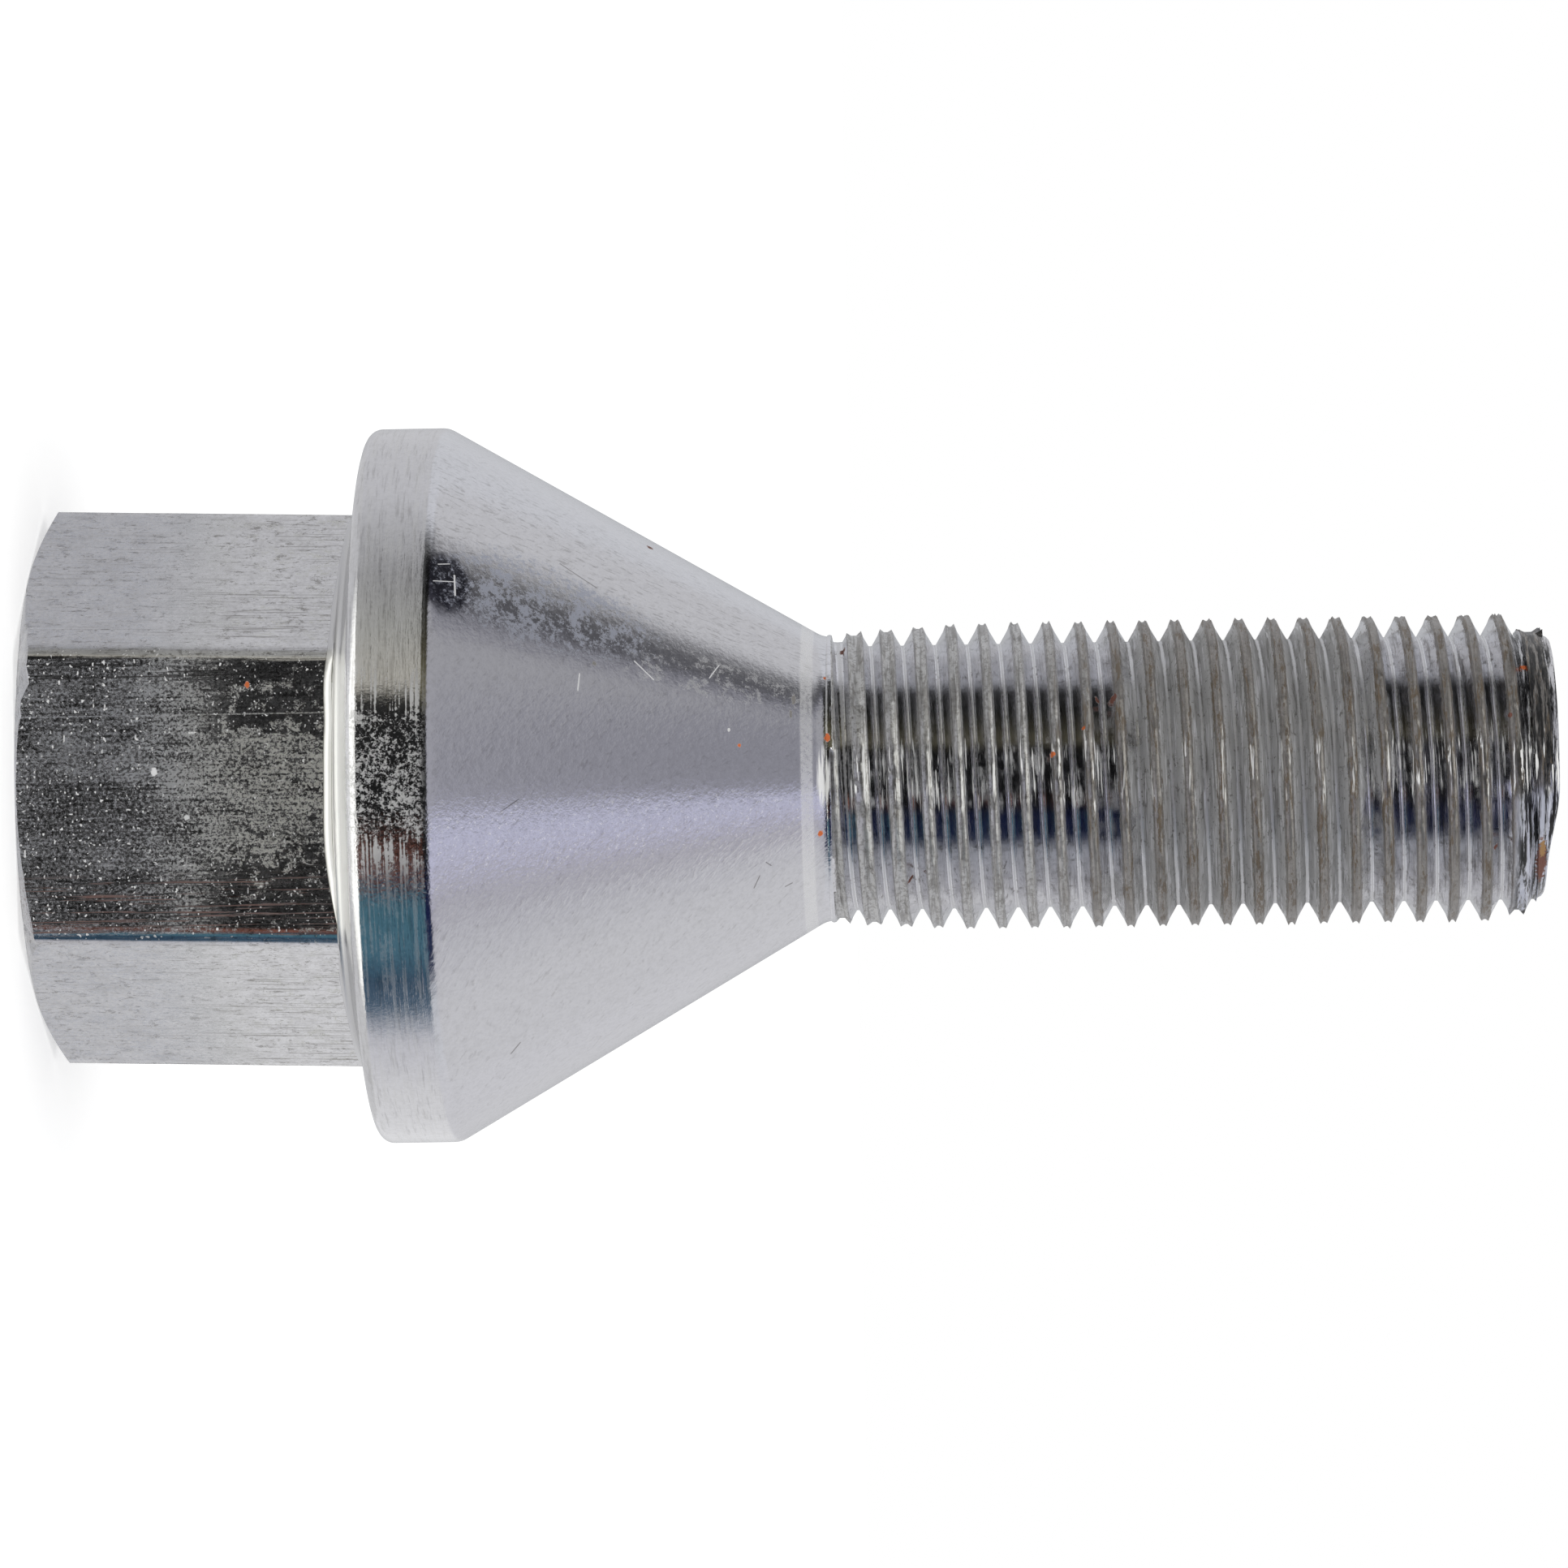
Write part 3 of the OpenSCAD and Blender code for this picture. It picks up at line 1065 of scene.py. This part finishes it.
def finish_metal(nodes, colour, dull, roughness, normal):
    """Joins the patterns in one shader. What is dull isn't metallic."""
    metallic = 1 - dull
    inputs = {"Base Color": colour, "Metallic": metallic, "Roughness": roughness, "Normal": normal}
    shader = nodes.add("BsdfPrincipled", inputs)
    nodes.add("OutputMaterial", {"Surface": shader.outputs[0]})


# Places on the head where a pattern fades, as the two values that it fades between: the side that faces
# the camera, in degrees, and bands on it where lines break the frost, from its middle line
NEAR_SIDE = (32.0, 28.0)
LOW_BAND = (2.8, 3.3)
HIGH_BAND = (-4.0, -4.5)
# The thin line of frost along the near side, from its middle line
LONG_LINE = -3.04


def head_frost(nodes, point, across_lines):
    """Frosted grains on the hex, sparse at its end and in clumps at the collar, and the low band's mask."""
    x, _, z = nodes.split(point)
    from_middle = abs(x)
    cloud = nodes.lined_noise(point, 0.7, 0.9, 3.0, 0.6) * 0.3 - 0.15
    grain = nodes.lined_noise(point, 0.8, 9.0, 3.0, 0.8)
    grain += across_lines * 0.3 - 0.15
    frost = (grain + cloud).step(0.32, 0.68, 0.0, 0.95)
    corner = from_middle.step(1.6, 3.0)
    clumps = nodes.lined_noise(point, 0.8, 1.6, 5.0, 0.8)
    clumps += corner * 0.16 - 0.1
    clumps = clumps.step(0.47, 0.53) * z.step(6.5, 8.5)
    frost = frost.without(clumps, 0.8)
    frost *= z.step(2.5, 7.5, 0.6, 1.0)
    low_band = x.step(*LOW_BAND)
    bands = low_band | x.step(*HIGH_BAND)
    frost = frost.without(across_lines.step(0.51, 0.57) * bands, 0.65)
    long_line = abs(x - LONG_LINE).step(0.04, 0.015)
    frost |= long_line * (grain * 1.6 - 0.3)

    # The turned corners beside the near side have no frost
    near_side = from_middle.step(5.3, 5.2)
    other_sides = from_middle.step(5.5, 5.6)
    return frost * (near_side | other_sides), low_band


def head_material():
    """Bright zinc with brush lines along the hex, frosted grains, dark dashes, white specks painted as
    sparkle, and painted shade and highlights.
    """
    material, nodes, point, around, mark = start_metal("zinc_hex")
    shoulder = mark.step(0.05, 0.3)
    bright = mark.step(0.6, 0.9)
    near = abs(around.angle).step(*NEAR_SIDE)
    brush = nodes.lined_noise(point, 0.015, 8.0, 3.0, 0.7)
    # White dots and specks: painted sparkle highlights, strongest on the side that faces the camera
    dots = nodes.noise(point, 7.0, 0.0).step(0.73, 0.78)
    dots = dots * near * around.z.step(9.0, 2.0, 0.5, 1.0)
    across_lines = nodes.lined_noise(point, 0.025, 9.0, 2.0, 0.6)
    thin_lines = nodes.lined_noise(point, 0.02, 9.0, 2.0, 0.6).step(0.55, 0.64)
    lined = nodes.lined_noise(point, 0.4, 0.45, 2.0).step(0.42, 0.54)
    dashes = nodes.lined_noise(point, 0.25, 5.0, 4.0, 0.8).step(0.57, 0.65)
    blots = nodes.lined_noise(point, 0.8, 2.4, 5.0, 0.88).step(0.565, 0.62)
    cloud = nodes.noise(point, 1.3, 4.0, 0.65)
    speckle = nodes.noise(point, 7.0, 2.0, 0.6)
    specks = nodes.noise(point, 6.5, 1.0).step(0.71, 0.76) * (near * 0.7 + 0.3)
    white = specks | dots
    frost, low_band = head_frost(nodes, point, across_lines)
    frost = frost.without(shoulder)
    red_lines = nodes.lined_noise(point, 0.02, 9.0, 3.0, 0.7).step(0.55, 0.61)
    red_lines = red_lines * low_band * near
    to_collar = around.z.step(3.0, 9.5)

    colour = add_grime_and_shade(nodes, ZINC, cloud.step(0.4, 0.7), 0.2)
    # Darker towards the hex's end: painted shade
    colour = add_grime_and_shade(nodes, colour, 1 - to_collar, 0.24)
    colour = add_grime_and_shade(nodes, colour, speckle.step(0.42, 0.7), 0.2)
    lined *= to_collar * 0.6 + 0.4
    colour = add_grime_and_shade(nodes, colour, thin_lines * lined, 0.6)
    colour = add_grime_and_shade(nodes, colour, dashes, 0.8)
    colour = add_grime_and_shade(nodes, colour, blots, 0.7)
    colour = nodes.mix(frost, colour, nodes.mix(to_collar, FROST_BLUE, FROST_OLIVE))
    colour = nodes.mix(white, colour, CHALK_AND_SPARKLE)
    colour, marks = add_spots(nodes, point, around, colour, HEAD_SPOTS)
    colour = nodes.mix(red_lines * 0.8, colour, RUST_BROWN)
    # On the side that faces the camera the shoulder is painted: a painted highlight with a painted dark
    # reflected line in it. The other sides are pale grey.
    painted_shoulder_light = nodes.mix(near, PALE_GREY, nodes.mix(bright, PAINTED_DARK_LINE, BRIGHT))
    colour = nodes.mix(shoulder, colour, painted_shoulder_light)
    marks = (marks | white * 0.9).without(shoulder)
    brushed = brush * (lined * 0.7 + 0.3)
    normal = bump(nodes, brushed.without(shoulder), 0.01)
    normal = bump(nodes, speckle, 0.003, normal)
    roughness = any_of([
        frost * 0.4 + 0.08,
        marks * 0.7,
        (shoulder | red_lines) * 0.35,
    ])
    dull = any_of([
        frost * 0.42,
        marks,
        red_lines * 0.45,
        shoulder * near * 0.3,
    ])
    finish_metal(nodes, colour, dull, roughness, normal)
    return material


# Where the painted highlight ring at the end of the cone fades in and out
RING_IN = (29.58, 29.68)
RING_OUT = (30.15, 30.05)


def seat_material():
    """Smoother zinc: turning lines on the rim, an orange peel skin on the cone, a darker patch, scratches and
    painted highlights.
    """
    material, nodes, point, around, mark = start_metal("zinc_seat")
    flange_face = mark.step(0.2, 0.9)
    on_cone = around.z.step(CONE_Z - 0.4, CONE_Z + 0.1)
    on_rim = (1 - on_cone).without(flange_face)
    turned = nodes.noise(around.lines(nodes, 0.02), 8.0, 3.0, 0.65)
    cloud = nodes.noise(point, 0.9, 3.0, 0.6)
    rim_lines = nodes.noise(around.lines(nodes, 0.006), 7.0, 2.0, 0.6)
    rim_grains = nodes.noise(point, 7.0, 4.0, 0.85)
    from_black = abs(around.angle + 3.0).step(7.0, 11.0)
    rim_frost = nodes.mix(from_black * 0.7, rim_grains, rim_lines)
    rim_frost += cloud * 0.3 - 0.15
    frosted = on_rim * around.angle.step(16.0, 7.0, 0.3, 1.0)
    frosted *= around.angle.step(-22.0, -15.0, 0.35, 1.0)
    frost = rim_frost.step(0.5, 0.58) * frosted
    peel = nodes.noise(point, 2.6, 3.0, 0.6)
    grainy = nodes.noise(point, 6.5, 3.0, 0.65)
    dabs = nodes.noise(around.slanted(nodes, 0.17, 0.3), 3.6, 3.0, 0.7)

    # The darker stretch along the cone's dark streak, with its crystals, its far end, and the blotch where it
    # starts
    ragged = grainy * 1.2 - 0.6
    streak_patch = patch(nodes, around, ragged, 20.4, -37, 4.2, 10.5)
    cells = nodes.noise(point, 2.8, 6.0, 0.85) + (cloud * 0.3 - 0.15)
    crystals = streak_patch * cells.step(0.45, 0.56)
    far_streak = patch(nodes, around, ragged, 26.5, -31, 4.5, 7)
    far_grains = far_streak * cells.step(0.5, 0.6)
    blotch = patch(nodes, around, peel * 0.6 - 0.3, 16.6, -35.5, 1.0, 6)

    colour = add_grime_and_shade(nodes, ZINC, peel.step(0.42, 0.7), 0.07)
    colour = add_grime_and_shade(nodes, colour, grainy.step(0.42, 0.72), 0.1)
    unrolled = nodes.join(around.angle * 0.19, around.z * 0.25, 0.0)
    strokes = nodes.noise(unrolled, 7.0, 3.0, 0.7)
    above = around.angle.step(-36.0, -44.0)
    above *= around.angle.step(-78.0, -60.0)
    strokes = strokes.step(0.54, 0.64) * above * on_cone
    colour = add_grime_and_shade(nodes, colour, strokes, 0.35)
    colour = add_grime_and_shade(nodes, colour, dabs.step(0.58, 0.7) * on_cone, 0.2)
    colour = add_grime_and_shade(nodes, colour, turned.step(0.5, 0.7) * on_rim, 0.3)
    # Darker along the cone's dark streak, and darkest in the blotch where it starts
    colour = add_grime_and_shade(nodes, colour, streak_patch.without(crystals), 0.2)
    colour = nodes.mix(blotch * on_cone, colour, DARK_GREY_BLUE)
    colour = nodes.mix(far_grains * 0.7, colour, FROST)
    colour = nodes.mix(frost, colour, FROST)
    colour = nodes.mix(crystals, colour, FROST_BLUE)
    bright = any_of([scratch(nodes, around, *line) for line in BRIGHT_SCRATCHES])
    dark = any_of([scratch(nodes, around, *line) for line in DARK_SCRATCHES])
    colour = nodes.mix(bright, add_grime_and_shade(nodes, colour, dark, 0.7), CHALK_AND_SPARKLE)
    colour, spots = add_spots(nodes, point, around, colour, SEAT_SPOTS)
    # The flange's face is painted as a highlight on the side that faces the camera, and pale grey on the
    # other sides
    near = abs(around.angle).step(31.0, 27.0)
    colour = nodes.mix(flange_face, colour, nodes.mix(near, PALE_GREY, BRIGHT))

    # A painted highlight ring where the cone ends, and a glint on the neck
    ring = around.z.step(*RING_IN) * around.z.step(*RING_OUT)
    ring *= grainy.step(0.3, 0.6, 0.5, 1.0)
    glint = patch(nodes, around, rim_lines - 0.5, 30.5, -2, 0.3, 13)
    glint *= rim_lines.step(0.42, 0.5)
    colour = nodes.mix(ring * 0.4, colour, BRIGHT)
    colour = nodes.mix(glint, colour, BRIGHT)

    # Sparkle and a stronger bump on the lit band, just below the middle of the cone
    lit_band = abs(around.angle - 9.0).step(10.0, 5.0)
    sparkle = nodes.noise(nodes.vector("ADD", point, (7, 0, 0)), 7.0, 4.0, 0.85).step(0.56, 0.66)
    sparkle = lit_band * sparkle
    colour = nodes.mix(sparkle * 0.6, colour, BRIGHT)
    normal = bump(nodes, turned * on_rim, 0.006)
    low_side = around.angle.step(8.0, 25.0, 0.3, 1.0)
    normal = bump(nodes, dabs * (on_cone * low_side), 0.018, normal)
    normal = bump(nodes, peel * on_cone, 0.008, normal)
    normal = bump(nodes, grainy * (lit_band * 0.7 + 0.3), 0.016, normal)
    grains = any_of([
        frost,
        crystals * 0.8,
        far_grains * 0.6,
    ])
    roughness = any_of([
        on_cone * 0.04 + 0.1,
        flange_face * 0.35,
        grains * 0.5,
        ring * 0.35,
        (bright | spots) * 0.6,
    ])
    dull = any_of([
        grains * 0.4,
        bright * 0.6,
        glint * 0.8,
        ring * 0.3,
        flange_face * near * 0.5,
        sparkle * 0.35,
        spots,
    ])
    finish_metal(nodes, colour, dull, roughness, normal)
    return material


# Heights on the thread where it gets dirtier, and where the matte film fades in and out
DIRTIER = (38.0, 42.0)
FILM_IN = (41.3, 42.5)
FILM_OUT = (52.0, 50.8)
# The height where the torn tip starts, and the radius where its plain end face does
TORN_IN = (TIP_Z - 1.9, TIP_Z - 1.5)
END_FACE_OUT = (4.6, 4.9)


def thread_material():
    """Zinc on the thread: glossy flanks, grimy crests, a matte film further on, a torn tip, some rust, and
    painted highlights and reflections.
    """
    material, nodes, point, around, mark = start_metal("zinc_thread")
    lines = nodes.noise(around.lines(nodes, 0.008), 4.5, 4.0, 0.75)
    fine_lines = nodes.noise(nodes.vector("ADD", around.lines(nodes, 0.006), (3, 0, 0)), 6.5, 2.0, 0.7)
    grain = nodes.noise(point, 6.0, 4.0, 0.8)
    flecks = nodes.noise(point, 2.8, 5.0, 0.88).step(0.57, 0.62)
    ragged_mark = mark + (grain * 0.8 - 0.4)
    crest = ragged_mark.step(0.3, 0.6)
    root = ragged_mark.step(-0.45, -0.8)
    tip = around.z.step(*TORN_IN) * around.radius.step(*END_FACE_OUT)

    sway = nodes.noise(point, 0.6, 3.0) * 5.0 - 2.5
    height = around.z + sway
    film = height.step(*FILM_IN) * height.step(*FILM_OUT)
    further = height.step(*DIRTIER)
    dark_lines = lines.step(0.52, 0.62)
    crest_specks = crest * grain.step(0.5, 0.58)
    crest_lines = crest * fine_lines.step(0.5, 0.58)
    brown = nodes.noise(around.lines(nodes, 0.02), 4.0, 4.0, 0.85).step(0.52, 0.58)
    brown = ragged_mark.step(0.1, 0.3) * further * brown

    # Painted highlight streaks round the thread where it faces the camera
    painted_streaks = fine_lines.step(0.57, 0.62)
    reach = abs(around.angle + 2.0)
    reach += lines * 40.0 - 20.0
    facing = reach.step(14.0, 8.0)
    filmed = film.without(crest, 0.7)
    painted_streaks *= facing * (filmed * -0.85 + 1.0)
    # Dark lines and a bluish lower side on the torn tip: painted reflections
    tip_painted_dark = tip * lines.step(0.42, 0.54)
    tip_painted_blue = tip.without(tip_painted_dark) * around.angle.step(5.0, 12.0)

    colour = add_grime_and_shade(nodes, ZINC, grain.step(0.42, 0.7), 0.15)
    colour = nodes.mix(film, colour, MATTE_FILM)
    colour = add_grime_and_shade(nodes, colour, dark_lines * (further * 0.45 + 0.2), 1.0)
    colour = nodes.mix(film * fine_lines.step(0.55, 0.62), colour, ZINC)
    colour = nodes.mix(crest, colour, nodes.mix(further, CREST_GREY, CREST_DIRT))
    colour = add_grime_and_shade(nodes, colour, crest_specks, 0.6)
    colour = add_grime_and_shade(nodes, colour, crest_lines, 0.6)
    colour = nodes.mix(brown, colour, CREST_BROWN)
    colour = add_grime_and_shade(nodes, colour, flecks, 0.9)
    # The roots are painted pale: a painted highlight line
    colour = nodes.mix(root, colour, PALE_GREY)
    colour = nodes.mix(tip_painted_dark, colour, PAINTED_DARK_REFLECTION)
    colour = nodes.mix(tip_painted_blue, colour, PAINTED_BLUE_REFLECTION)
    colour = nodes.mix(painted_streaks, colour, BRIGHT)
    colour, rust = add_spots(nodes, point, around, colour, THREAD_SPOTS)
    normal = bump(nodes, lines, 0.006)
    normal = bump(nodes, fine_lines * (film | crest), 0.02, normal)
    normal = bump(nodes, lines * tip, 0.05, normal)
    normal = bump(nodes, grain, 0.004, normal)
    roughness = any_of([
        crest * 0.25 + 0.08,
        film * 0.4,
        (root | painted_streaks) * 0.3,
        (rust | tip_painted_blue) * 0.7,
    ])
    dull = any_of([
        rust,
        brown,
        film * 0.45,
        root * 0.3,
        painted_streaks * 0.95,
        crest * (facing * -0.3 + 0.45),
        tip_painted_blue * 0.5,
    ])
    finish_metal(nodes, colour, dull, roughness, normal)
    return material


make_camera()
make_world()
make_floor()
make_tent()
make_lamp()
make_bolt([head_material(), seat_material(), thread_material()])

bpy.context.scene.view_settings.view_transform = "Standard"
